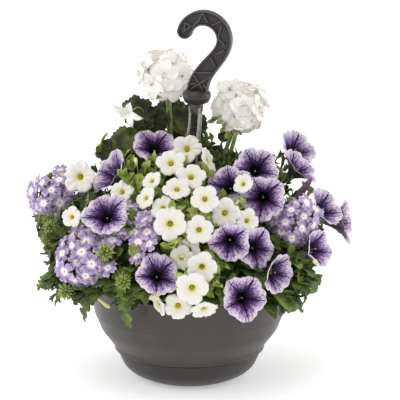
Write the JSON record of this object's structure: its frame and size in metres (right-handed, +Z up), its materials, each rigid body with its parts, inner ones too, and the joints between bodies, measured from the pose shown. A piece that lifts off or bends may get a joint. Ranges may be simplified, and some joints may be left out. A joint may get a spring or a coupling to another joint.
{
  "type": "flowering hanging basket",
  "caption": "Round plastic hanging pot with a clip-on saucer and a moulded hook on wires, planted with mounded purple and white trailing flowers",
  "frame": {"origin": "middle of the saucer's flat underside, on which the pot can also stand", "axes": "+Z up, -Y the front of the planting as pictured, +X to the right of the front"},
  "size_m": [0.4386, 0.3794, 0.5023],
  "materials": {
    "pot_plastic": "moulded grey polypropylene, satin with a fine grain",
    "hook_plastic": "moulded grey polypropylene, satin",
    "compost": null,
    "wire": "galvanised steel wire, dull grey",
    "petunia_petal": null,
    "calibrachoa_petal": null,
    "verbena_petal": null,
    "geranium_petal": null,
    "verbena_leaf": null,
    "petunia_leaf": null,
    "calibrachoa_leaf": null,
    "geranium_leaf": null
  },
  "bodies": {
    "root": {"bowl": "pot_plastic", "saucer": "pot_plastic", "compost": "compost", "hook": "hook_plastic", "wire_1": "wire", "wire_2": "wire", "wire_3": "wire", "petunia_1": "petunia_petal", "petunia_2": "petunia_petal", "petunia_3": "petunia_petal", "petunia_4": "petunia_petal", "petunia_5": "petunia_petal", "petunia_6": "petunia_petal", "petunia_7": "petunia_petal", "petunia_8": "petunia_petal", "petunia_9": "petunia_petal", "petunia_10": "petunia_petal", "petunia_11": "petunia_petal", "petunia_12": "petunia_petal", "petunia_13": "petunia_petal", "petunia_14": "petunia_petal", "petunia_15": "petunia_petal", "petunia_16": "petunia_petal", "petunia_17": "petunia_petal", "petunia_18": "petunia_petal", "petunia_19": "petunia_petal", "petunia_20": "petunia_petal", "calibrachoa_1": "calibrachoa_petal", "calibrachoa_2": "calibrachoa_petal", "calibrachoa_3": "calibrachoa_petal", "calibrachoa_4": "calibrachoa_petal", "calibrachoa_5": "calibrachoa_petal", "calibrachoa_6": "calibrachoa_petal", "calibrachoa_7": "calibrachoa_petal", "calibrachoa_8": "calibrachoa_petal", "calibrachoa_9": "calibrachoa_petal", "calibrachoa_10": "calibrachoa_petal", "calibrachoa_11": "calibrachoa_petal", "calibrachoa_12": "calibrachoa_petal", "calibrachoa_13": "calibrachoa_petal", "calibrachoa_14": "calibrachoa_petal", "verbena_1": "verbena_petal", "verbena_2": "verbena_petal", "verbena_3": "verbena_petal", "verbena_4": "verbena_petal", "verbena_5": "verbena_petal", "geranium_1": "geranium_petal", "geranium_2": "geranium_petal", "geranium_3": "geranium_petal", "verbena_plant_left": "verbena_leaf", "petunia_plant_front_left": "petunia_leaf", "calibrachoa_plant_front": "calibrachoa_leaf", "petunia_plant_front_right": "petunia_leaf", "verbena_plant_right": "verbena_leaf", "petunia_plant_right": "petunia_leaf", "calibrachoa_plant_back": "calibrachoa_leaf", "geranium_plant": "geranium_leaf", "petunia_plant_left": "petunia_leaf"}
  },
  "joints": []
}
